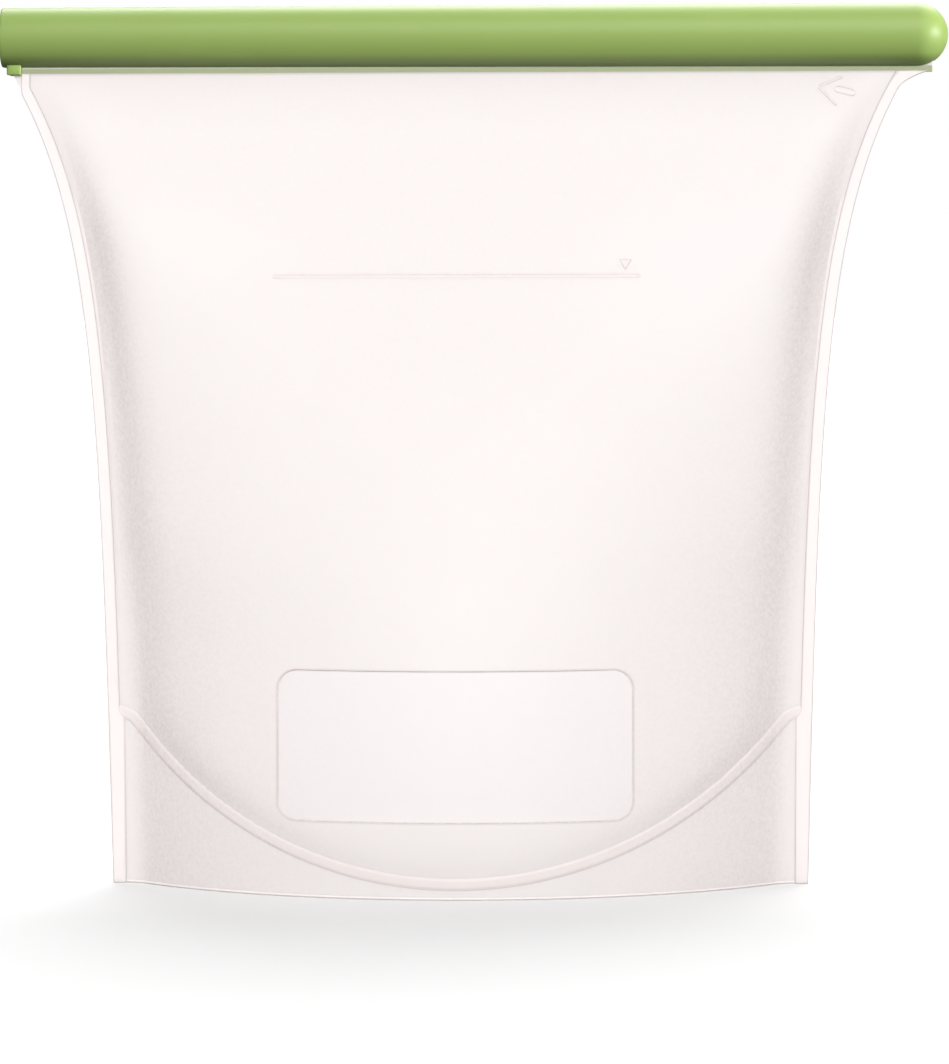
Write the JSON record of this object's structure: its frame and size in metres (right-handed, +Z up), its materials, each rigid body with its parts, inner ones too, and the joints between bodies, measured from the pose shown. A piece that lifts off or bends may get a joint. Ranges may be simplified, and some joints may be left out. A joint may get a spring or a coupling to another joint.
{
  "type": "reusable silicone bag",
  "caption": "Stand-up translucent silicone food bag with a boat-shaped base, closed along its mouth by a slide-on C-section bar.",
  "frame": {"origin": "on the floor, under the middle of the closure bar", "axes": "+X along the mouth, towards the bar's closed end; -Y out of the front wall; +Z up"},
  "size_m": [0.24, 0.0784, 0.2237],
  "materials": {
    "wall_silicone": "translucent, fine satin frost, smooth inside the label window",
    "gusset_silicone": "translucent, satin",
    "bond_silicone": "denser translucent band, satin",
    "lip_silicone": "satin, thick",
    "closure_plastic": "fine satin moulded plastic, leaf green"
  },
  "bodies": {
    "bag": {"front_panel": "wall_silicone", "back_panel": "wall_silicone", "base_gusset": "gusset_silicone", "front_base_weld": "bond_silicone", "back_base_weld": "bond_silicone", "left_side_seam": "bond_silicone", "right_side_seam": "bond_silicone", "front_mouth_bead": "lip_silicone", "back_mouth_bead": "lip_silicone"},
    "closure": {"closure_bar": "closure_plastic"}
  },
  "joints": [
    {"name": "closure_slide", "type": "slide", "parent": "bag", "child": "closure", "axis": [1, 0, 0], "range_m": [0, 0.24]}
  ]
}
